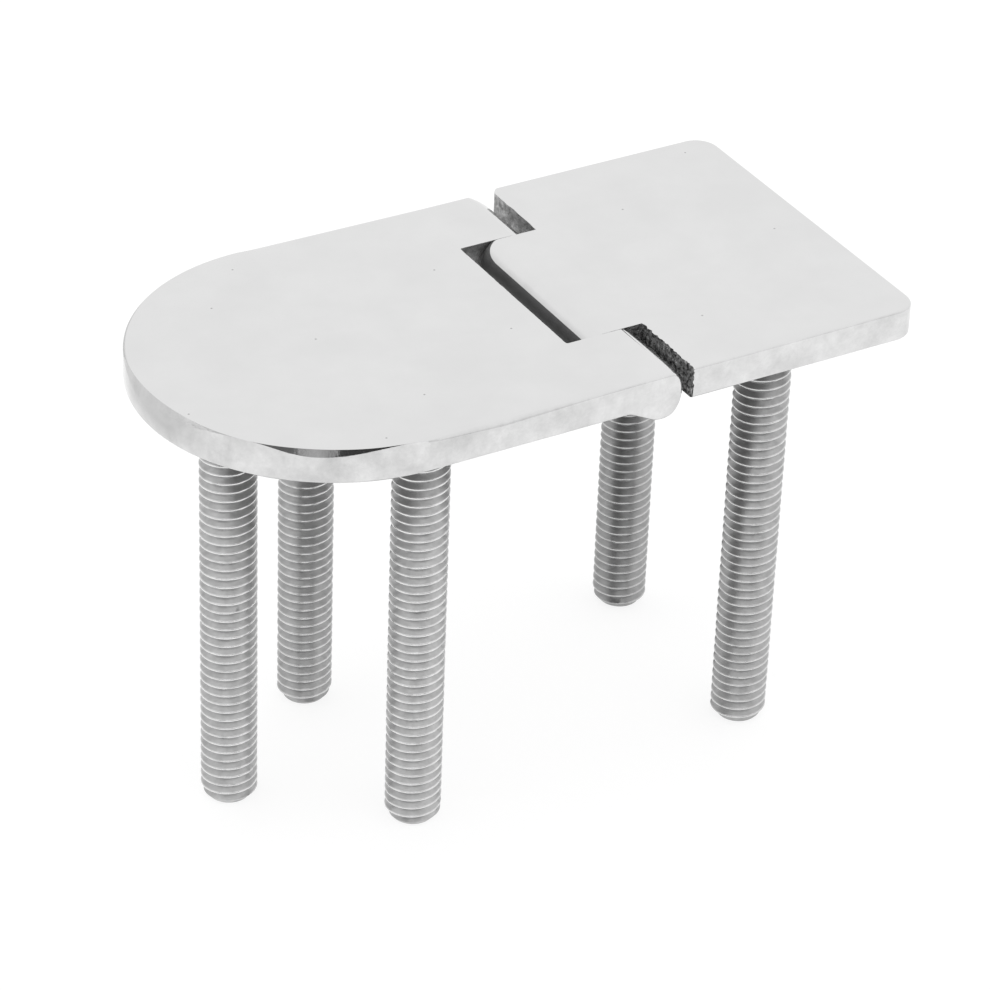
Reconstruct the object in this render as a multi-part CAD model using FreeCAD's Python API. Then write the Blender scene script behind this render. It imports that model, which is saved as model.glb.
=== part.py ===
import FreeCAD, Part
import math
import os

Vector = FreeCAD.Vector

# Leaves, in millimetres. X runs along the hinge with the pin at X = 0, Y runs along the pin,
# and Z = 0 is the seat plane that both undersides lie on.
leaf_width = 40.0
leaf_thickness = 3.4
nose_offset = 25.3
square_reach = 30.1
corner_radius = 2.5
edge_radius = 0.3

# Knuckle: a barrel that leaves the top faces at a tangent, reaches past the pin, turns under it
# and climbs a slope back to the seat plane; one tongue stands between two ears
knuckle_reach = 3.0
crown_radius = 2.15
under_radius = 2.75
ramp_degrees = 27.0
ramp_blend = 1.5
tongue_width = 20.8
side_clearance = 0.06
slot_offset = 5.0
slot_corner = 0.2
shoulder_offset = 3.65

# Hinge pin, tight in the ears and free in the tongue
pin_radius = 1.25
pin_clearance = 0.04

# Studs, with the plain diameter of the thread's crests
stud_radius = 2.9
stud_length = 46.5
stud_chamfer = 0.7
nose_stud_inset = 8.9
round_pair_offset = 21.6
round_pair_inset = 8.25
square_pair_inset = 8.0
square_pair_end_inset = 12.8

# Values worked out from the sizes above
half_width = leaf_width / 2
axis_height = leaf_thickness - (crown_radius + under_radius) / 2
slot_half_width = tongue_width / 2 + side_clearance
nose_stud_x = nose_stud_inset - nose_offset - half_width
round_pair_y = half_width - round_pair_inset
square_pair_x = square_reach - square_pair_end_inset
square_pair_y = half_width - square_pair_inset
beyond = leaf_width
near = 1e-4


def extruded(edges, depth):
    """Extrudes a closed run of edges."""
    return Part.Face(Part.Wire(edges)).extrude(depth)


def line(start, end):
    return Part.LineSegment(start, end).toShape()


def arc(start, middle, end):
    return Part.Arc(start, middle, end).toShape()


def upright(edge):
    return max(edge.BoundBox.XLength, edge.BoundBox.YLength) < near


def along_pin(edge):
    return max(edge.BoundBox.XLength, edge.BoundBox.ZLength) < near


def leaf_section(side, reach):
    """Leaf of full width whose plate runs out to side * reach and ends at the pin in a barrel."""
    slope = math.radians(ramp_degrees)

    def point(x, z):
        return Vector(side * x, -half_width, z)

    def round_point(centre_x, radius, degrees):
        angle = math.radians(degrees)
        return point(centre_x + radius * math.cos(angle), end_z + radius * math.sin(angle))

    # Both arcs of the barrel are upright at its far end, and the top face and the slope are tangent to them
    end_z = leaf_thickness - crown_radius
    crown_x = crown_radius - knuckle_reach
    under_x = under_radius - knuckle_reach
    touch_degrees = ramp_degrees - 90
    crown = round_point(crown_x, crown_radius, 90)
    crown_middle = round_point(crown_x, crown_radius, 135)
    barrel_end = round_point(crown_x, crown_radius, 180)
    under_middle = round_point(under_x, under_radius, (touch_degrees - 180) / 2)
    touch = round_point(under_x, under_radius, touch_degrees)
    foot = touch + Vector(side / math.tan(slope), 0, 1) * -touch.z
    far_top = point(reach, leaf_thickness)
    far_bottom = point(reach, 0)
    edges = [
        line(far_bottom, foot),
        line(foot, touch),
        arc(touch, under_middle, barrel_end),
        arc(barrel_end, crown_middle, crown),
        line(crown, far_top),
        line(far_top, far_bottom),
    ]
    leaf = extruded(edges, Vector(0, leaf_width, 0))
    foot_edges = [e for e in leaf.Edges if along_pin(e) and e.distToShape(Part.Vertex(foot))[0] < near]
    return leaf.makeFillet(ramp_blend, foot_edges)


def round_outline():
    """Plan of the round leaf: straight sides and a half-round nose, open-ended past the barrel."""
    z = -beyond
    front_end = Vector(beyond, -half_width, z)
    front_nose = Vector(-nose_offset, -half_width, z)
    tip = Vector(-nose_offset - half_width, 0, z)
    rear_nose = Vector(-nose_offset, half_width, z)
    rear_end = Vector(beyond, half_width, z)
    edges = [
        line(front_end, front_nose),
        arc(front_nose, tip, rear_nose),
        line(rear_nose, rear_end),
        line(rear_end, front_end),
    ]
    return extruded(edges, Vector(0, 0, 2 * beyond))


def square_outline():
    """Plan of the square leaf: straight sides and rounded far corners, open-ended past the barrel."""
    block = Part.makeBox(beyond + square_reach, leaf_width, 2 * beyond, Vector(-beyond, -half_width, -beyond))
    far_corners = [e for e in block.Edges if upright(e) and e.CenterOfMass.x > 0]
    return block.makeFillet(corner_radius, far_corners)


def rounded_rim(leaf, outline):
    """Rounds every edge of a leaf that lies on its plan outline, over and under the plate and round the barrel."""
    skin = Part.Shell([f for f in outline.Faces if abs(f.normalAt(0, 0).z) < 0.5])

    def follows(edge):
        return all(Part.Vertex(p).distToShape(skin)[0] < near for p in edge.discretize(5))

    rim = [e for e in leaf.Edges if follows(e) and not upright(e)]
    return leaf.makeFillet(edge_radius, rim)


def across_pin(radius):
    """Cylinder on the pin's axis, as long as the leaves are wide."""
    return Part.makeCylinder(radius, leaf_width, Vector(0, -half_width, axis_height), Vector(0, 1, 0))


def block_between(x_low, x_high, y_low, y_high):
    """Upright block through the whole thickness of the knuckle."""
    corner = Vector(x_low, y_low, -beyond)
    return Part.makeBox(x_high - x_low, y_high - y_low, 2 * beyond, corner)


def round_leaf():
    """Round leaf: two ears beside a slot, bored for the pin."""
    outline = round_outline()
    leaf = leaf_section(-1, nose_offset + leaf_width).common(outline)
    leaf = rounded_rim(leaf, outline)
    slot = block_between(-slot_offset, beyond, -slot_half_width, slot_half_width)
    inner_corners = [e for e in slot.Edges if upright(e) and e.CenterOfMass.x < 0]
    slot = slot.makeFillet(slot_corner, inner_corners)
    return leaf.cut(slot).cut(across_pin(pin_radius))


def square_leaf():
    """Square leaf: one tongue between two notches that clear the ears, bored to turn on the pin."""
    outline = square_outline()
    leaf = leaf_section(1, square_reach + leaf_width).common(outline)
    leaf = rounded_rim(leaf, outline)
    tongue_side = tongue_width / 2
    front_notch = block_between(-beyond, shoulder_offset, -beyond, -tongue_side)
    rear_notch = block_between(-beyond, shoulder_offset, tongue_side, beyond)
    return leaf.cut(front_notch).cut(rear_notch).cut(across_pin(pin_radius + pin_clearance))


def stud(x, y):
    """Stud standing down from the seat plane, with a chamfered tip."""
    rod = Part.makeCylinder(stud_radius, stud_length, Vector(x, y, -stud_length))
    tip = [e for e in rod.Edges if e.Closed and e.CenterOfMass.z < -stud_length / 2]
    return rod.makeChamfer(stud_chamfer, tip)


nodes = {
    "round_leaf": round_leaf(),
    "square_leaf": square_leaf(),
    "hinge_pin": across_pin(pin_radius),
    "stud_nose": stud(nose_stud_x, 0),
    "stud_round_front": stud(-round_pair_offset, -round_pair_y),
    "stud_round_rear": stud(-round_pair_offset, round_pair_y),
    "stud_square_front": stud(square_pair_x, -square_pair_y),
    "stud_square_rear": stud(square_pair_x, square_pair_y),
}

os.makedirs("parts", exist_ok=True)
for name, shape in nodes.items():
    shape.exportStep("parts/" + name + ".step")
    print(name, len(shape.Solids), shape.isValid(), round(shape.Volume, 2))
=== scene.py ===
"""Looks of the marine door hinge: polished cast leaves, rough knuckle walls and threaded studs."""
import bmesh
import bpy
import math
from mathutils import Matrix, Vector, geometry, noise


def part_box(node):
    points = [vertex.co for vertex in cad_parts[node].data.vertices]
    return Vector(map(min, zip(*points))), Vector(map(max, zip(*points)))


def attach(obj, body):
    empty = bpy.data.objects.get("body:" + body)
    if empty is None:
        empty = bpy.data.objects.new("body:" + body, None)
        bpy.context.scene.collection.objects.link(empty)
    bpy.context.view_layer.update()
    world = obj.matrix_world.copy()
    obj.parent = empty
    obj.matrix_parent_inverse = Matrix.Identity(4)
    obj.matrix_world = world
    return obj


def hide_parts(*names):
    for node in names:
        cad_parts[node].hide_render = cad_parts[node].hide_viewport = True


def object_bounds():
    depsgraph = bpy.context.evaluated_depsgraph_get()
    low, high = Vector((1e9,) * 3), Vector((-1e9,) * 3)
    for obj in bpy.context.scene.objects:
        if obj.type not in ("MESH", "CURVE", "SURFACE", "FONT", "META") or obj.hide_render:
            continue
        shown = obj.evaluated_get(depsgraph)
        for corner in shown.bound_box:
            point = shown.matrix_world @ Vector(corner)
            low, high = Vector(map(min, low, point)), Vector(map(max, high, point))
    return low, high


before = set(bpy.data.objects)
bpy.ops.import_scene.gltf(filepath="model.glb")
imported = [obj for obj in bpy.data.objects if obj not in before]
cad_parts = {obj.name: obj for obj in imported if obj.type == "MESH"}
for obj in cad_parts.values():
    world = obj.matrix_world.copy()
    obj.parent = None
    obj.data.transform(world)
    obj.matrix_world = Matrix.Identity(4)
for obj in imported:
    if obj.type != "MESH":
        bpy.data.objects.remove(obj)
cad_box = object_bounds()

# Sizes are in metres, and the leaves' own are read from the solids
MM = 0.001
X, Y, Z = range(3)
round_low, round_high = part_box("round_leaf")
square_low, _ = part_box("square_leaf")
top_height = round_high.z
half_width = round_high.y
nose_centre = Vector((round_low.x + half_width, 0, 0))

# Margins for finding faces: how near is the same place, and which normals count as level, square,
# facing along a wall's axis, facing a side, or facing the seat
near = 0.01 * MM
wall_margin = 0.05 * MM
side_margin = 0.1 * MM
level_normal = 0.999
square_normal = 0.99
wall_normal = 0.9
side_normal = 0.5
seat_normal = -0.6

# Angle in degrees past which an edge of the leaves, or of a thread, stays sharp
sharp_degrees = 35
thread_sharp_degrees = 45

# Places of the finishes in a leaf's list of materials
finish_polished, finish_dark, finish_dull_shaded, finish_lit_cast, finish_seat = range(5)

# Knuckle walls that keep their cast skin
slot_wall_x = -5.0 * MM
slot_half_width = 10.46 * MM
shoulder_x = 3.65 * MM
tongue_half_width = 10.4 * MM

# Skin of each such wall: the spacing of its grid and the depth of its lumps
slot_wall_skin = (0.3 * MM, 0.04 * MM)
slot_side_skin = (0.4 * MM, 0.01 * MM)
tongue_side_skin = (0.4 * MM, 0.02 * MM)
front_shoulder_skin = (0.16 * MM, 0.2 * MM)
rear_shoulder_skin = (0.6 * MM, 0.12 * MM)

# Lumps of the skin: usual and fine size, middle and swing of their height, and the noise's fractal
# increment, gap between octaves and number of octaves
lump_size = 0.7 * MM
fine_lump_size = 0.4 * MM
lump_middle = 0.5
lump_swing = 0.9
lump_fractal = (0.7, 2.0, 4)

# Painted shade under the top edge of a cast wall: depths where it starts and where it is full,
# and the stretch across the leaf where it thins out
shade_start_depth = 1.5 * MM
shade_full_depth = 0.6 * MM
shade_thins_y = (13 * MM, 18 * MM)

# Polish on the tongue's barrel: how far the barrel faces the slot where it ends, as a share of straight on,
# and its edge in plan at the rear corner: a straight stretch, and a curve given by its ends and two handles
# Past the polish the barrel is dull, and darkened as painted shade for the slot
polish_end = 0.82
polish_start = Vector((-2.6, 5.7, 0)) * MM
polish_turn = Vector((-2.57, 7.4, 0)) * MM
polish_turn_handle = Vector((-2.47, 9.02, 0)) * MM
polish_finish_handle = Vector((-2.3, 9.78, 0)) * MM
polish_finish = Vector((-0.9, 10.38, 0)) * MM
polish_curve_points = 10

# Stretches of the round leaf's sides: where they get cleaner towards the ears,
# and where painted shade on the nose's tip fades out along the leaf and comes in above the seat
cleaner_x = (-18 * MM, -4 * MM)
tip_shade_x = (-45.0 * MM, -43.2 * MM)
tip_shade_z = (0.2 * MM, 1.6 * MM)

# Ears rounded off towards the sides: where the rounding starts, how far it draws back and how wide it is
front_ear = (1.3 * MM, 0.8 * MM, 3.2 * MM)
rear_ear = (-1.0 * MM, 1.6 * MM, 2.6 * MM)
ear_step = math.radians(9)

# Rear side of the tongue drawn in towards its free end, and a shoulder's corner rubbed round
tongue_draw_x = -0.4 * MM
tongue_draw = 0.8 * MM
shoulder_corner = 1.6 * MM
corner_shares = (0.0, 0.15, 0.3, 0.45, 0.6, 0.75, 0.9)

# Top edges eased by wear, less in front of the tongue's rear side than behind it, with a margin there,
# and walls shifted into the metal, or out of it where the shift is negative
front_wear = 0.07 * MM
rear_wear = 0.3 * MM
wear_margin = 0.2 * MM
front_shoulder_shift = -0.12 * MM
rear_shoulder_shift = 0.12 * MM
seam_shift = -0.035 * MM

# Side edges of the round leaf, rolled over by the polishing wheel: radius by the nose and by the ear,
# fade round the nose, how far round it the edge is cut and searched, and the cuts along and across it
roll_start_x = -24.0 * MM
roll_end_x = -4.0 * MM
front_roll = (1.1 * MM, 0.32 * MM)
rear_roll = (0.5 * MM, 0.9 * MM)
roll_fade = 0.2
roll_cut_reach = 2 * MM
roll_reach = 3.5 * MM
roll_step = 1.5 * MM
roll_shares = (1.0, 0.78, 0.58, 0.4, 0.25, 0.12)

# Thread: pitch, depth, the shares of the pitch that are crest and root, the easing of its corners,
# the radii between which its crest turns bright, the steps of each turn, and the turns added in all
# and below the tip
thread_pitch = 1.0 * MM
thread_depth = 0.58 * MM
crest_share = 0.18
root_share = 0.1
thread_ease = 0.02 * MM
bright_crest = (2.77 * MM, 2.87 * MM)
turn_steps = 40
spare_turns = 3
turns_below = 2

# Studs: height and setback of the chamfered tip, and how far each thread is turned on from the last
tip_height = 0.9 * MM
tip_setback = 0.75 * MM
stud_turn = math.radians(77)

# Dents and slow wobble of a thread: spread of their noise round the stud, its height along the stud,
# the level at which a dent starts, and their depths
dent_spread = 3.1
dent_height = 0.9 * MM
dent_level = 0.38
dent_depth = 0.2 * MM
wobble_spread = 0.4
wobble_height = 4 * MM
wobble_depth = 0.018 * MM

# Rim of the nose ground back by the polishing wheel, with places round the rim in degrees of azimuth
# that run on past the nose along the front side; setback, slope and depth
rim_start = 155
rim_end = 308
rim_nose_end = 270
rim_ease_in = 40
rim_ease_out = 48
rim_setback = 0.46 * MM
rim_slope = 0.2
rim_depth = 2.4 * MM

# Cuts in the rim: along the front side, and finer under the top edge than below
rim_front_step = 1 * MM
rim_fine_depth = 0.9 * MM
rim_fine_step = 0.08 * MM
rim_coarse_step = 0.2 * MM

# Slanted flats on that rim: azimuths of start, middle and end, then depth and slope
front_flat = (219, 238, 265, 0.69 * MM, 0.42)
left_flat = (150, 183, 217, 1.4 * MM, 0.33)

# Range that most of a soft noise lies in
noise_low = 0.3
noise_high = 0.7

# Pin-holes in the polish
pits_per_metre = 62.0
pit_radius = 0.13 * MM

# Stage: half the floor's side, and where the room's panels start and end, in degrees round from straight
# behind the viewpoint; only left_start is counted from the X axis
floor_half = 2.0
dark_half = 46
dark_start = 3
dim_end = -11
right_end = 92
left_start = 80
panel_columns = 48

# Photograph's viewpoint
camera_azimuth = math.radians(-31.077)
camera_elevation = math.radians(32.711)
camera_roll = math.radians(2.145)
camera_aim = Vector((-24.70, -30.78, 3.4)) * MM
camera_distance = 384.24 * MM
camera_lens = 153.08
sensor_width = 36.0


def add(tree, kind, inputs=None, **settings):
    """Adds a shader node, with sockets given by name or number as values or as other nodes' outputs."""
    made = tree.nodes.new(kind)
    for key, value in settings.items():
        setattr(made, key, value)
    for key, value in (inputs or {}).items():
        if isinstance(value, bpy.types.NodeSocket):
            tree.links.new(value, made.inputs[key])
        else:
            made.inputs[key].default_value = value
    return made


def grey(level):
    return (level, level, level, 1.0)


def new_material(name):
    """Empty node material, with its tree and output node."""
    material = bpy.data.materials.new(name)
    material.use_nodes = True
    tree = material.node_tree
    tree.nodes.clear()
    return material, tree, add(tree, "ShaderNodeOutputMaterial")


def spread(tree, value, low, high, to_low, to_high):
    """Maps a value from one range to another."""
    sockets = {"Value": value, "From Min": low, "From Max": high, "To Min": to_low, "To Max": to_high}
    return add(tree, "ShaderNodeMapRange", sockets).outputs["Result"]


def cloud(tree, scale, detail=3.0, rough=0.5):
    """Soft noise in the piece's own space; scale is in features per metre."""
    place = add(tree, "ShaderNodeTexCoord").outputs["Object"]
    sockets = {"Vector": place, "Scale": scale, "Detail": detail, "Roughness": rough}
    return add(tree, "ShaderNodeTexNoise", sockets).outputs["Fac"]


def tone(tree, value, dark, light, low=noise_low):
    """Grey colour between two levels, for a soft noise from its low value up."""
    ramp = add(tree, "ShaderNodeValToRGB", {"Fac": value})
    ramp.color_ramp.elements[0].position = low
    ramp.color_ramp.elements[0].color = grey(dark)
    ramp.color_ramp.elements[1].position = noise_high
    ramp.color_ramp.elements[1].color = grey(light)
    return ramp.outputs["Color"]


def combine(tree, operation, first, second):
    """Value made from two others."""
    return add(tree, "ShaderNodeMath", {0: first, 1: second}, operation=operation).outputs[0]


def blend(tree, share, first, second):
    """Colour between two others."""
    return add(tree, "ShaderNodeMix", {0: share, 6: first, 7: second}, data_type="RGBA").outputs[2]


def steel(tree, output, colour, roughness, normal):
    """Metal shader at the end of a material."""
    sockets = {"Base Color": colour, "Metallic": 1.0, "Roughness": roughness, "Normal": normal}
    shader = add(tree, "ShaderNodeBsdfPrincipled", sockets)
    tree.links.new(shader.outputs["BSDF"], output.inputs["Surface"])


def pits(tree):
    """Share of pin-hole in the polish: a few tiny pits, scattered over the leaf's plan."""
    place = add(tree, "ShaderNodeTexCoord").outputs["Object"]
    sockets = {"Vector": place, "Scale": pits_per_metre}
    nearest = add(tree, "ShaderNodeTexVoronoi", sockets, voronoi_dimensions="2D").outputs["Distance"]
    reach = pit_radius * pits_per_metre
    return spread(tree, nearest, 0.5 * reach, reach, 1.0, 0.0)


def polished_material():
    """Buffed stainless steel: near mirror on top, with a cloudy, softly rippled skin on the sides."""
    material, tree, output = new_material("polished_stainless")
    haze = cloud(tree, scale=180.0)
    clouds = cloud(tree, scale=330.0, detail=6.0, rough=0.68)
    place = add(tree, "ShaderNodeTexCoord").outputs
    upward = add(tree, "ShaderNodeSeparateXYZ", {"Vector": place["Normal"]}).outputs["Z"]
    along, _, climb = add(tree, "ShaderNodeSeparateXYZ", {"Vector": place["Object"]}).outputs
    level = add(tree, "ShaderNodeMath", {0: upward}, operation="ABSOLUTE").outputs[0]
    sideways = spread(tree, level, 0.4, 0.9, 1.0, 0.0)
    mirror = tone(tree, haze, dark=0.735, light=0.765)
    cloudy_nose = tone(tree, clouds, dark=0.56, light=0.78)
    cloudy_ear = tone(tree, clouds, dark=0.61, light=0.79)
    cloudy = blend(tree, spread(tree, along, *cleaner_x, 0.0, 1.0), cloudy_nose, cloudy_ear)
    # Painted shade on the side of the nose's tip: a darker grey above the seat, fading out along the leaf
    by_tip = spread(tree, along, *tip_shade_x, 1.0, 0.0)
    off_seat = spread(tree, climb, *tip_shade_z, 0.0, 1.0)
    patch = combine(tree, "MULTIPLY", by_tip, off_seat)
    cloudy = blend(tree, patch, cloudy, tone(tree, clouds, dark=0.49, light=0.58))
    colour = blend(tree, sideways, mirror, cloudy)
    colour = blend(tree, pits(tree), colour, grey(0.42))
    roughness = spread(tree, haze, noise_low, noise_high, 0.09, 0.15)
    height = combine(tree, "MULTIPLY", clouds, sideways)
    bump = add(tree, "ShaderNodeBump", {"Strength": 0.3, "Distance": 0.12 * MM, "Height": height})
    steel(tree, output, colour, roughness, bump.outputs["Normal"])
    return material


def cast_material(name, dark, light, grain, low=noise_low, edge_shade=0.0):
    """Cast skin that was never polished: dull and mottled, with a share of painted shade under the top
    edge.
    """
    material, tree, output = new_material(name)
    mottle = cloud(tree, scale=grain, detail=6.0, rough=0.7)
    place = add(tree, "ShaderNodeTexCoord").outputs["Object"]
    _, across, climb = add(tree, "ShaderNodeSeparateXYZ", {"Vector": place}).outputs
    # Painted shade: a dark grey mixed in towards the wall's top edge and its inner end
    shade_foot = top_height - shade_start_depth
    under_edge = spread(tree, climb, shade_foot, top_height - shade_full_depth, 0.0, edge_shade)
    inner = spread(tree, across, *shade_thins_y, 1.0, 0.2)
    share = combine(tree, "MULTIPLY", under_edge, inner)
    colour = blend(tree, share, tone(tree, mottle, dark, light, low), grey(0.08))
    roughness = spread(tree, mottle, noise_low, noise_high, 0.85, 0.4)
    bump = add(tree, "ShaderNodeBump", {"Strength": 0.8, "Distance": 0.12 * MM, "Height": mottle})
    steel(tree, output, colour, roughness, bump.outputs["Normal"])
    return material


def dull_shaded_material():
    """Steel inside the slot that the polish never reached: smooth and dull, with its dark colour a painted
    shade for the slot.
    """
    material, tree, output = new_material("dull_stainless_shaded")
    patch = cloud(tree, scale=700.0, detail=4.0, rough=0.6)
    # Dark grey: painted shade for the inside of the slot, over a dull unpolished finish
    colour = tone(tree, patch, dark=0.175, light=0.21)
    roughness = spread(tree, patch, noise_low, noise_high, 0.65, 0.75)
    bump = add(tree, "ShaderNodeBump", {"Strength": 0.1, "Distance": 0.02 * MM, "Height": patch})
    steel(tree, output, colour, roughness, bump.outputs["Normal"])
    return material


def thread_material(name, shade):
    """Rolled thread: dull flanks, and crests rubbed bright, their lighter colour partly a painted
    highlight.
    """
    material, tree, output = new_material(name)
    place = add(tree, "ShaderNodeTexCoord").outputs["Object"]
    flat = add(tree, "ShaderNodeVectorMath", {0: place, 1: (1.0, 1.0, 0.0)}, operation="MULTIPLY")
    radius = add(tree, "ShaderNodeVectorMath", {0: flat.outputs[0]}, operation="LENGTH").outputs["Value"]
    # Crest colour: partly rubbed steel, partly a painted highlight along the crest
    crest = spread(tree, radius, *bright_crest, 0.0, 1.0)
    grain = cloud(tree, scale=900.0, detail=4.0, rough=0.6)
    # shade lightens or darkens the whole thread's colour, as painted light and shade per stud
    flank = tone(tree, grain, dark=0.43 * shade, light=0.57 * shade)
    rubbed_and_highlit = tone(tree, grain, dark=0.68 * shade, light=0.84 * shade)
    colour = blend(tree, crest, flank, rubbed_and_highlit)
    roughness = spread(tree, crest, 0.0, 1.0, 0.38, 0.25)
    bump = add(tree, "ShaderNodeBump", {"Strength": 0.25, "Distance": 0.04 * MM, "Height": grain})
    steel(tree, output, colour, roughness, bump.outputs["Normal"])
    return material


def floor_material():
    """Pale floor that shows white behind the object and keeps a faint shadow."""
    material, tree, output = new_material("floor_white")
    path = add(tree, "ShaderNodeLightPath").outputs
    seen = combine(tree, "MAXIMUM", path["Is Camera Ray"], path["Is Glossy Ray"])
    seen = combine(tree, "MAXIMUM", seen, path["Is Transmission Ray"])
    plain = add(tree, "ShaderNodeBsdfDiffuse", {"Color": grey(0.9)}).outputs[0]
    glow = add(tree, "ShaderNodeEmission", {"Color": grey(1.0), "Strength": 0.82}).outputs[0]
    shade = add(tree, "ShaderNodeBsdfDiffuse", {"Color": grey(0.26)}).outputs[0]
    white = add(tree, "ShaderNodeAddShader", {0: glow, 1: shade}).outputs[0]
    mix = add(tree, "ShaderNodeMixShader", {0: seen, 1: plain, 2: white})
    tree.links.new(mix.outputs[0], output.inputs["Surface"])
    return material


def room_material(name, foot, head, height):
    """Plain cloth of the room round the object, from one grey at its foot to another at its head."""
    material, tree, output = new_material(name)
    place = add(tree, "ShaderNodeTexCoord").outputs["Object"]
    climb = add(tree, "ShaderNodeSeparateXYZ", {"Vector": place}).outputs["Z"]
    level = spread(tree, climb, 0.0, height, foot, head)
    shader = add(tree, "ShaderNodeEmission", {"Color": grey(1.0), "Strength": level})
    tree.links.new(shader.outputs[0], output.inputs["Surface"])
    return material


def piece_from(bm, name, materials):
    """New object from a mesh in the making."""
    mesh = bpy.data.meshes.new(name)
    bm.normal_update()
    bm.to_mesh(mesh)
    bm.free()
    for material in materials:
        mesh.materials.append(material)
    made = bpy.data.objects.new(name, mesh)
    bpy.context.scene.collection.objects.link(made)
    return made


def smooth_piece(made):
    """Smooth shading that keeps sharp edges and leaves flat faces flat."""
    made.data.shade_smooth()
    made.data.set_sharp_from_angle(angle=math.radians(sharp_degrees))
    even = made.modifiers.new("even_normals", "WEIGHTED_NORMAL")
    even.keep_sharp = True
    even.weight = 100


def solid_mesh(node):
    """Welded copy of a solid's own mesh with its flat faces whole."""
    bm = bmesh.new()
    bm.from_mesh(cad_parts[node].data)
    bmesh.ops.remove_doubles(bm, verts=bm.verts, dist=0.001 * MM)
    bmesh.ops.dissolve_limit(bm, angle_limit=0.001, verts=bm.verts, edges=bm.edges)
    bm.normal_update()
    return bm


def slice_faces(bm, chosen, point, normal):
    """Cuts the chosen faces along one plane."""
    faces = [f for f in bm.faces if chosen(f)]
    around = {e for f in faces for e in f.edges}
    corners = {v for f in faces for v in f.verts}
    parts = faces + list(around) + list(corners)
    bmesh.ops.bisect_plane(bm, geom=parts, dist=0.0005 * MM, plane_co=point, plane_no=normal)
    bm.normal_update()


def slice_across(bm, chosen, axis, value):
    """Cuts the chosen faces square to an axis, at one place along it."""
    normal = Vector([1.0 if i == axis else 0.0 for i in range(3)])
    slice_faces(bm, chosen, normal * value, normal)


def steps(low, high, spacing):
    """Evenly spaced values inside a range, with about the given spacing."""
    count = max(1, round((high - low) / spacing))
    return [low + (high - low) * k / count for k in range(1, count)]


def rim_place(point):
    """Place round the nose's rim in degrees, and the way out from the leaf's middle there."""
    out = Vector((min(0.0, point.x - nose_centre.x), point.y, 0))
    past_nose = max(0.0, point.x - nose_centre.x) / half_width
    azimuth = math.atan2(out.y, out.x) % math.tau
    return math.degrees(azimuth + past_nose), out


def bell(value, start, middle, end):
    """Smooth hump that rises from the start to the middle and falls to the end."""
    half = middle - start if value < middle else end - middle
    return 0.5 + 0.5 * math.cos(math.pi * min(1.0, abs(value - middle) / half))


def ground_back(azimuth, depth):
    """How far the nose's rim is ground back at a depth: a steep cone with slanted flats over it."""
    ease = min(1.0, (azimuth - rim_start) / rim_ease_in, (rim_end - azimuth) / rim_ease_out)
    cone = rim_setback * max(0.0, ease)
    setback = cone - rim_slope * depth
    for start, middle, end, reach, slope in (front_flat, left_flat):
        foot = reach * bell(azimuth, start, middle, end)
        setback = max(setback, cone + (slope - rim_slope) * foot - slope * depth)
    return max(0.0, setback)


def grind_rim(bm):
    """Grinds back the rim of the nose and of the front side next to it, under the top edge."""
    end_x = nose_centre.x + math.radians(rim_end - rim_nose_end) * half_width

    def high(face):
        return max(v.co.z for v in face.verts) > top_height - rim_depth and face.normal.z < level_normal

    def on_nose(face):
        return high(face) and face.calc_center_median().x < nose_centre.x

    def on_front(face):
        return high(face) and face.calc_center_median().y < side_margin - half_width

    def on_rim(face):
        return on_nose(face) or on_front(face) and min(v.co.x for v in face.verts) < end_x

    for degrees in range(rim_start, rim_nose_end):
        angle = math.radians(degrees)
        slice_faces(bm, on_nose, nose_centre, Vector((-math.sin(angle), math.cos(angle), 0)))
    for x in steps(nose_centre.x, end_x, rim_front_step) + [end_x]:
        slice_across(bm, on_front, X, x)
    fine = steps(0, rim_fine_depth, rim_fine_step)
    coarse = steps(rim_fine_depth, rim_depth, rim_coarse_step)
    for below in fine + coarse:
        slice_across(bm, on_rim, Z, top_height - below)
    for vert in bm.verts:
        place, out = rim_place(vert.co)
        depth = top_height - vert.co.z
        excess = out.length - half_width + ground_back(place, depth)
        if depth < rim_depth and rim_start < place < rim_end and excess > 0:
            vert.co -= out.normalized() * excess


def roll_radius(x, by_nose, by_ear):
    """Radius of a rolled edge, which changes from the nose to the ear and fades out round the nose."""
    share = (x - roll_start_x) / (roll_end_x - roll_start_x)
    if share < 0:
        return by_nose + (x - roll_start_x) * roll_fade
    return by_nose + (by_ear - by_nose) * min(1.0, share)


def roll_edge(bm, side, by_nose, by_ear):
    """Rolls over the top edge along one side of the round leaf."""
    widest = max(by_nose, by_ear)

    def at_edge(face):
        by_edge = all(v.co.y * side > half_width - widest - near for v in face.verts)
        beside_nose = min(v.co.x for v in face.verts) > nose_centre.x - roll_reach
        return by_edge and beside_nose or face.normal.z > level_normal

    def on_side(face):
        return face.normal.y * side > square_normal and face.calc_center_median().z > 0

    for share in roll_shares:
        slice_across(bm, at_edge, Y, side * (half_width - widest * share))
        slice_across(bm, on_side, Z, top_height - widest * share)
    for x in steps(nose_centre.x - roll_cut_reach, 0, roll_step):
        slice_across(bm, at_edge, X, x)
    for vert in bm.verts:
        radius = roll_radius(vert.co.x, by_nose, by_ear)
        out = Vector((min(0.0, vert.co.x - nose_centre.x), vert.co.y, 0))
        inward = radius - (half_width - out.length)
        upward = radius - (top_height - vert.co.z)
        reach = math.hypot(inward, upward)
        if vert.co.y * side > 0 and inward > 0 and upward > 0 and reach > radius:
            vert.co += out.normalized() * (half_width - radius * (1 - inward / reach) - out.length)
            vert.co.z = top_height - radius * (1 - upward / reach)


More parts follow.
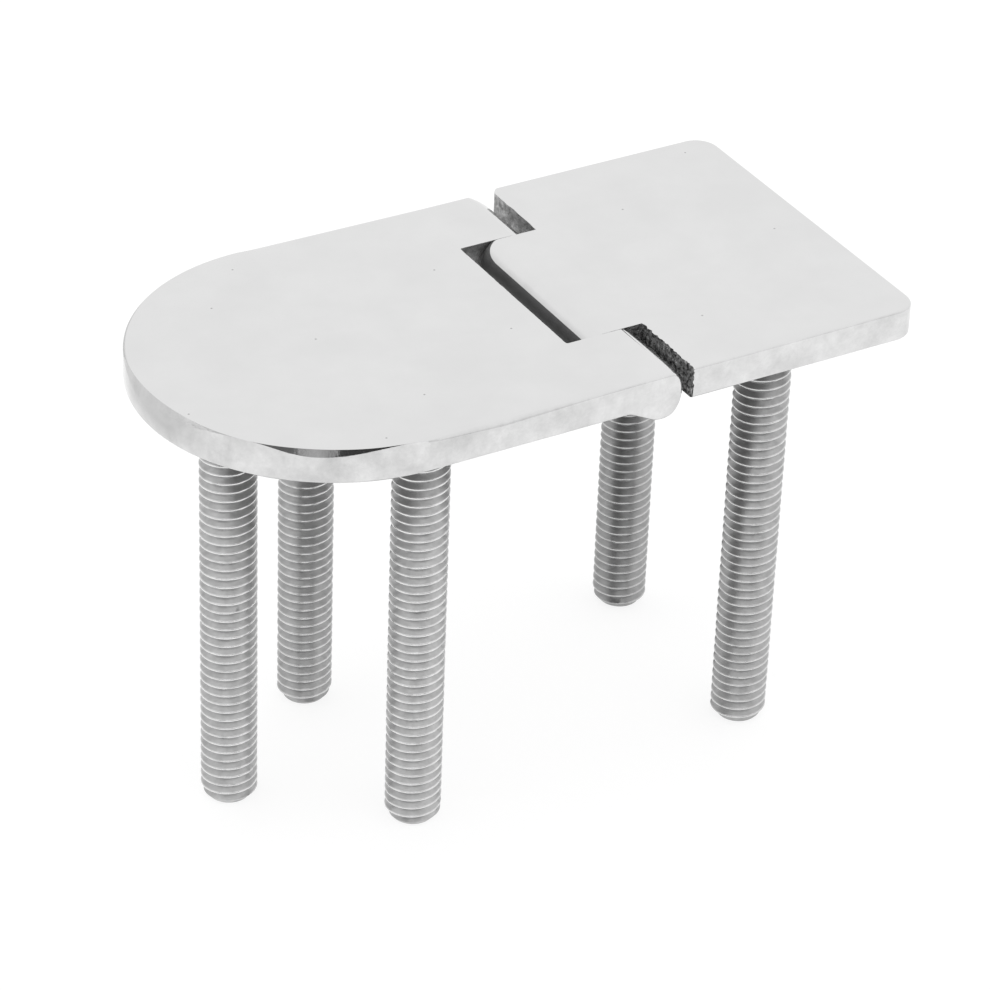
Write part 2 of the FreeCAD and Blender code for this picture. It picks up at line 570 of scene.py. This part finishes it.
def roughen(bm, chosen, along, skin, finish, shift=0.0, lump=lump_size):
    """Gives the chosen flat wall its cast skin: a fine grid pushed in unevenly, and its own finish."""
    spacing, depth = skin
    faces = [f for f in bm.faces if chosen(f)]
    low = Vector([min(v.co[i] for f in faces for v in f.verts) for i in range(3)])
    high = Vector([max(v.co[i] for f in faces for v in f.verts) for i in range(3)])
    for axis in along:
        for value in steps(low[axis], high[axis], spacing):
            slice_across(bm, chosen, axis, value)
    faces = [f for f in bm.faces if chosen(f)]
    inward = -faces[0].normal.copy()
    for face in faces:
        face.material_index = finish
    for vert in {v for f in faces for v in f.verts}:
        lumps = lump_middle + lump_swing * noise.fractal(vert.co / lump, *lump_fractal)
        vert.co += inward * (shift + depth * min(1.0, max(0.0, lumps)))


def flat_wall(axis, side, place):
    """Test for faces of one flat wall, by its axis, the side it faces and its place along the axis."""

    def chosen(face):
        centre = face.calc_center_median()
        return face.normal[axis] * side > wall_normal and abs(centre[axis] - place) < wall_margin

    return chosen


def shoulder(side):
    """Test for faces of the shoulder on one side of the tongue."""
    wall = flat_wall(X, -1, shoulder_x)

    def chosen(face):
        return wall(face) and face.calc_center_median().y * side > 0

    return chosen


def wear_edge(bm, y_low, y_high, width):
    """Eases the top edges of the cast walls that lie in a range across the leaf."""

    def worn(edge):
        if len(edge.link_faces) != 2:
            return False
        first, second = edge.link_faces
        tops = {first.normal.z > square_normal, second.normal.z > square_normal}
        middle = (edge.verts[0].co.y + edge.verts[1].co.y) / 2
        cast = max(first.material_index, second.material_index) in (finish_dark, finish_lit_cast)
        return tops == {True, False} and cast and y_low < middle < y_high

    edges = [e for e in bm.edges if worn(e)]
    shape = {"segments": 2, "profile": 0.5, "affect": "EDGES", "clamp_overlap": True}
    bmesh.ops.bevel(bm, geom=edges, offset=width, **shape)
    bm.normal_update()


def rub_corner(bm, end_x, side, radius):
    """Rounds in plan the corner where the wall that faces the pin at end_x meets the leaf's own side."""
    start_x = end_x + radius
    start_y = half_width - radius

    def at_corner(face):
        beyond = [v for v in face.verts if abs(v.co.x - end_x) < radius and v.co.y * side > start_y]
        return len(beyond) > 0 and face.normal.z < level_normal

    for share in corner_shares:
        slice_across(bm, at_corner, X, start_x - radius * share)
        slice_across(bm, at_corner, Y, side * (start_y + radius * share))
    for vert in bm.verts:
        out_x = start_x - vert.co.x
        out_y = vert.co.y * side - start_y
        reach = math.hypot(out_x, out_y)
        if 0 < out_x < 2 * radius and out_y > 0 and reach > radius:
            vert.co.x = start_x - out_x * radius / reach
            vert.co.y = side * (start_y + out_y * radius / reach)


def round_ear(bm, side, root_x, draw_back, width):
    """Draws the barrel of one ear back towards the leaf's side, in a quarter ellipse."""
    start_y = half_width - width
    length = round_high.x - root_x

    def on_barrel(face):
        past_root = max(v.co.x for v in face.verts) > root_x and face.normal.z < level_normal
        return past_root and max(v.co.y * side for v in face.verts) > start_y

    slice_across(bm, on_barrel, X, root_x)
    for turn in [0.0] + steps(0, math.pi / 2, ear_step):
        slice_across(bm, on_barrel, Y, side * (start_y + width * math.sin(turn)))
    for vert in bm.verts:
        along = (vert.co.y * side - start_y) / width
        if vert.co.x > root_x and along > 0:
            setback = draw_back * (1 - math.sqrt(max(0.0, 1 - along * along)))
            vert.co.x -= setback * (vert.co.x - root_x) / length


def draw_in_tongue(bm):
    """Draws in the rear side of the tongue towards its free end."""
    for vert in bm.verts:
        if vert.co.x < tongue_draw_x and vert.co.y > tongue_half_width - side_margin:
            along = (tongue_draw_x - vert.co.x) / (tongue_draw_x - square_low.x)
            vert.co.y -= tongue_draw * along * along


def dull_shaded_barrel(bm):
    """Leaves the tongue's barrel dull where the polish never reached, at its end and rear corner, and dark
    there as painted shade.
    """
    curve = (polish_turn, polish_turn_handle, polish_finish_handle, polish_finish)
    corner = [polish_start] + geometry.interpolate_bezier(*curve, polish_curve_points)
    cuts = [(a, (b - a).cross(Vector((0, 0, -1))).normalized()) for a, b in zip(corner, corner[1:])]

    def on_barrel(face):
        rounded = -square_normal < face.normal.z < level_normal and abs(face.normal.y) < side_normal
        return rounded and face.calc_center_median().x < 0

    for point, outward in cuts:
        slice_faces(bm, on_barrel, point, outward)
    for face in bm.faces:
        centre = face.calc_center_median()
        missed = any((centre - point).dot(outward) > 0 for point, outward in cuts)
        if on_barrel(face) and (face.normal.x < -polish_end or missed):
            face.material_index = finish_dull_shaded


def leave_seat(bm):
    """Gives the underside its cast skin."""
    for face in bm.faces:
        if face.normal.z < seat_normal:
            face.material_index = finish_seat


def round_leaf_piece(materials):
    """Round leaf with the ground rim of its nose and the cast walls of its slot."""
    bm = solid_mesh("round_leaf")
    leave_seat(bm)
    grind_rim(bm)
    for side, ear, radii in ((-1, front_ear, front_roll), (1, rear_ear, rear_roll)):
        round_ear(bm, side, *ear)
        roll_edge(bm, side, *radii)
    roughen(bm, flat_wall(X, 1, slot_wall_x), (Y, Z), slot_wall_skin, finish_dark)
    roughen(bm, flat_wall(Y, -1, slot_half_width), (X, Z), slot_side_skin, finish_lit_cast)
    roughen(bm, flat_wall(Y, 1, -slot_half_width), (X, Z), slot_side_skin, finish_dark)
    wear_edge(bm, -half_width, half_width, front_wear)
    made = piece_from(bm, "round_leaf_polished", materials)
    smooth_piece(made)
    return made


def square_leaf_piece(materials):
    """Square leaf with the cast shoulders and tongue sides of its notches."""
    bm = solid_mesh("square_leaf")
    leave_seat(bm)
    front, rear = shoulder(-1), shoulder(1)
    roughen(bm, front, (Y, Z), front_shoulder_skin, finish_dark, front_shoulder_shift, fine_lump_size)
    roughen(bm, rear, (Y, Z), rear_shoulder_skin, finish_lit_cast, rear_shoulder_shift)
    for side in (-1, 1):
        tongue_side = flat_wall(Y, side, side * tongue_half_width)
        roughen(bm, tongue_side, (X, Z), tongue_side_skin, finish_dark, seam_shift)
    draw_in_tongue(bm)
    dull_shaded_barrel(bm)
    rub_corner(bm, shoulder_x + rear_shoulder_shift, 1, shoulder_corner)
    wear_edge(bm, -half_width, tongue_half_width - wear_margin, front_wear)
    wear_edge(bm, tongue_half_width + wear_margin, half_width, rear_wear)
    made = piece_from(bm, "square_leaf_polished", materials)
    smooth_piece(made)
    return made


def pin_piece(material):
    """Pin with its rear end ground off together with the ear round it."""
    bm = solid_mesh("hinge_pin")
    round_ear(bm, 1, *rear_ear)
    made = piece_from(bm, "hinge_pin_polished", [material])
    smooth_piece(made)
    return made


def thread_profile(radius):
    """One turn's profile from crest to crest: share of the pitch and radius, with eased corners."""
    root = radius - thread_depth
    crest = crest_share / 2
    bottom = root_share / 2
    return [
        (-crest, radius - thread_ease),
        (-crest / 2, radius),
        (crest / 2, radius),
        (crest, radius - thread_ease),
        (0.5 - bottom, root + thread_ease),
        (0.5, root),
        (0.5 + bottom, root + thread_ease),
    ]


def thread_radius(profile, share):
    """Radius of the thread at a share of the pitch past a crest."""
    share = (share - profile[0][0]) % 1.0 + profile[0][0]
    points = profile + [(profile[0][0] + 1.0, profile[0][1])]
    for (start, r_start), (end, r_end) in zip(points, points[1:]):
        if start <= share <= end:
            return r_start + (r_end - r_start) * (share - start) / (end - start)
    return points[-1][1]


def nick(angle, z, seed):
    """Depth of the small dents that handling leaves on a thread's crests."""
    around = Vector((math.cos(angle), math.sin(angle), seed)) * dent_spread
    spot = noise.noise(around + Vector((0, 0, z / dent_height)))
    wobble = noise.noise(around * wobble_spread + Vector((0, 0, z / wobble_height)))
    return dent_depth * max(0.0, spot - dent_level) + wobble_depth * (1 + wobble)


def thread_rows(bm, length, radius, seed):
    """Rows of points along a right-hand helix, one for each place in the profile, from tip to seat."""
    profile = thread_profile(radius)
    tip_radius = radius - tip_setback
    rows = []
    for turn in range(int(length / thread_pitch) + spare_turns):
        for share, _ in profile:
            row = []
            for k in range(turn_steps + 1):
                climb = k / turn_steps
                angle = math.tau * climb
                z = (turn + share + climb - turns_below) * thread_pitch - length
                z = min(0.0, max(-length, z))
                reach = thread_radius(profile, (z + length) / thread_pitch - climb)
                cone = tip_radius + (z + length) * (radius - tip_radius) / tip_height
                reach = min(reach - nick(angle, z, seed), cone)
                row.append(bm.verts.new((reach * math.cos(angle), reach * math.sin(angle), z)))
            rows.append(row)
    return rows


def stud_piece(node, name, material, start_turn):
    """Threaded stud in place of a plain one, cut flat at the seat and chamfered at the tip."""
    low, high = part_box(node)
    bm = bmesh.new()
    rows = thread_rows(bm, high.z - low.z, (high.x - low.x) / 2, start_turn)
    for lower, upper in zip(rows, rows[1:]):
        for k in range(turn_steps):
            bm.faces.new((lower[k], lower[k + 1], upper[k + 1], upper[k]))
    bmesh.ops.remove_doubles(bm, verts=bm.verts, dist=0.0005 * MM)
    bmesh.ops.dissolve_degenerate(bm, edges=bm.edges, dist=0.0002 * MM)
    rim = [e for e in bm.edges if e.is_boundary]
    bmesh.ops.holes_fill(bm, edges=rim, sides=0)
    bmesh.ops.recalc_face_normals(bm, faces=bm.faces)
    made = piece_from(bm, name, [material])
    made.data.shade_smooth()
    made.data.set_sharp_from_angle(angle=math.radians(thread_sharp_degrees))
    middle = (low + high) / 2
    seat = Matrix.Translation((middle.x, middle.y, high.z))
    made.matrix_world = seat @ Matrix.Rotation(start_turn, 4, "Z")
    return made


def build_leaves():
    """Both leaves, and the pin that joins them."""
    polished = polished_material()
    finishes = {
        finish_polished: polished,
        finish_dark: cast_material("cast_stainless", dark=0.07, light=0.75, grain=2300.0, low=0.42),
        finish_dull_shaded: dull_shaded_material(),
        # Lighter copy of the cast skin: painted light for the walls that catch more light
        finish_lit_cast: cast_material("cast_stainless_lit", dark=0.36, light=0.7, grain=1700.0, edge_shade=0.5),
        finish_seat: cast_material("cast_stainless_seat", dark=0.18, light=0.3, grain=900.0),
    }
    for node, maker in (("round_leaf", round_leaf_piece), ("square_leaf", square_leaf_piece)):
        leaf = maker(finishes.values())
        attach(leaf, node + "_body")
        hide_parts(node)
    pin = pin_piece(polished)
    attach(pin, "round_leaf_body")
    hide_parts("hinge_pin")


def build_studs():
    """Five threaded studs, each started at its own turn, in lighter and darker copies of one thread finish
    as painted light and shade.
    """
    # Painted light and shade: a lighter copy for the round leaf's front studs, darker copies for the rest
    lit_thread = thread_material("threaded_stainless", shade=1.05)
    shaded_thread = thread_material("threaded_stainless_shaded", shade=0.9)
    deep_shaded_thread = thread_material("threaded_stainless_deep_shade", shade=0.74)
    bodies = {
        "stud_nose": ("round_leaf_body", lit_thread),
        "stud_round_front": ("round_leaf_body", lit_thread),
        "stud_round_rear": ("round_leaf_body", shaded_thread),
        "stud_square_front": ("square_leaf_body", shaded_thread),
        "stud_square_rear": ("square_leaf_body", deep_shaded_thread),
    }
    for k, (node, (body, finish)) in enumerate(bodies.items()):
        stud = stud_piece(node, node + "_threaded", finish, k * stud_turn)
        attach(stud, body)
        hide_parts(node)


def room_panel(name, from_degrees, to_degrees, distance, height, foot, head):
    """Upright curved panel of the room that the polished edges mirror; the camera looks past it."""
    bm = bmesh.new()
    columns = []
    for k in range(panel_columns + 1):
        angle = math.radians(from_degrees + (to_degrees - from_degrees) * k / panel_columns)
        base = Vector((distance * math.cos(angle), distance * math.sin(angle), 0))
        columns.append((bm.verts.new(base), bm.verts.new(base + Vector((0, 0, height)))))
    for (a, b), (c, d) in zip(columns, columns[1:]):
        bm.faces.new((a, c, d, b))
    panel = piece_from(bm, name, [room_material(name, foot, head, height)])
    panel.location.z = cad_box[0].z
    panel.visible_camera = False


def build_stage():
    """White floor at the studs' tips, a dark room behind the viewpoint and white light all round."""
    bm = bmesh.new()
    bmesh.ops.create_grid(bm, x_segments=1, y_segments=1, size=floor_half)
    floor = piece_from(bm, "floor", [floor_material()])
    floor.location.z = cad_box[0].z
    behind = (math.degrees(camera_azimuth) - 90) % 360
    right, left = behind + dark_half, behind - dark_half
    dim, dark = behind + dim_end, behind + dark_start
    room_panel("room_right", right, behind + right_end, distance=1.4, height=0.75, foot=0.82, head=0.97)
    room_panel("room_dim", left, dim, distance=1.2, height=0.6, foot=0.16, head=0.16)
    room_panel("room_strip", dim, dark, distance=1.2, height=0.6, foot=0.5, head=0.5)
    room_panel("room_dark", dark, right, distance=1.2, height=0.6, foot=0.05, head=0.05)
    room_panel("room_left", left_start, left, distance=1.3, height=1.0, foot=0.64, head=0.98)
    world = bpy.data.worlds.new("studio")
    bpy.context.scene.world = world
    world.use_nodes = True
    background = world.node_tree.nodes["Background"]
    background.inputs["Color"].default_value = grey(1.0)
    background.inputs["Strength"].default_value = 1.0


def build_camera():
    """Camera at the photograph's viewpoint."""
    back = Vector((
        math.sin(camera_azimuth) * math.cos(camera_elevation),
        -math.cos(camera_azimuth) * math.cos(camera_elevation),
        math.sin(camera_elevation),
    ))
    turn = (-back).to_track_quat("-Z", "Y").to_matrix() @ Matrix.Rotation(camera_roll, 3, "Z")
    data = bpy.data.cameras.new("camera")
    data.lens = camera_lens
    data.sensor_width = sensor_width
    camera = bpy.data.objects.new("camera", data)
    camera.matrix_world = Matrix.Translation(camera_aim + back * camera_distance) @ turn.to_4x4()
    bpy.context.scene.collection.objects.link(camera)
    bpy.context.scene.camera = camera
    bpy.context.scene.view_settings.view_transform = "Standard"


build_leaves()
build_studs()
build_stage()
build_camera()
